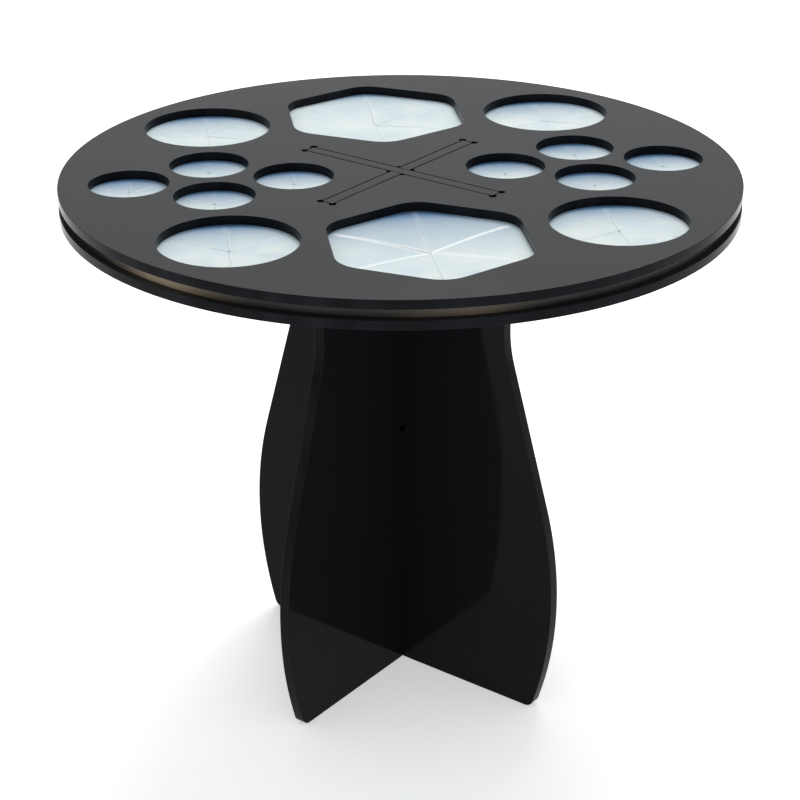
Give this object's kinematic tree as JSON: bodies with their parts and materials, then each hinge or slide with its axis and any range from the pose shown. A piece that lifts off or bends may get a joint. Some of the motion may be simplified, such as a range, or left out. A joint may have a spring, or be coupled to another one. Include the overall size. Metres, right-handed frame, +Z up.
{
  "type": "paint brush stand",
  "caption": "Round brush stand: a drilled disc tray with an elastic slit sheet between its layers, on two interlocked leg panels that form an X",
  "frame": {"origin": "on the floor, at the middle of the crossing of the two leg panels", "axes": "+Z up; -Y is the front, towards a hexagonal opening; the small bores lie along X, and the leg panels stand on the two diagonals"},
  "size_m": [0.2, 0.2, 0.166],
  "materials": {
    "tray_acrylic": "satin black acrylic",
    "leg_acrylic": "black acrylic",
    "membrane": "translucent white silicone"
  },
  "bodies": {
    "lower_leg": {"lower_leg_panel": "leg_acrylic"},
    "upper_leg": {"upper_leg_panel": "leg_acrylic"},
    "tray": {"top_disc": "tray_acrylic", "membrane_sheet": "membrane", "bottom_disc": "tray_acrylic"}
  },
  "joints": [
    {"name": "upper_panel_lift", "type": "slide", "parent": "lower_leg", "child": "upper_leg", "axis": [0, 0, 1], "range_m": [0, 0.09]},
    {"name": "tray_lift", "type": "slide", "parent": "upper_leg", "child": "tray", "axis": [0, 0, 1], "range_m": [0, 0.04]}
  ]
}
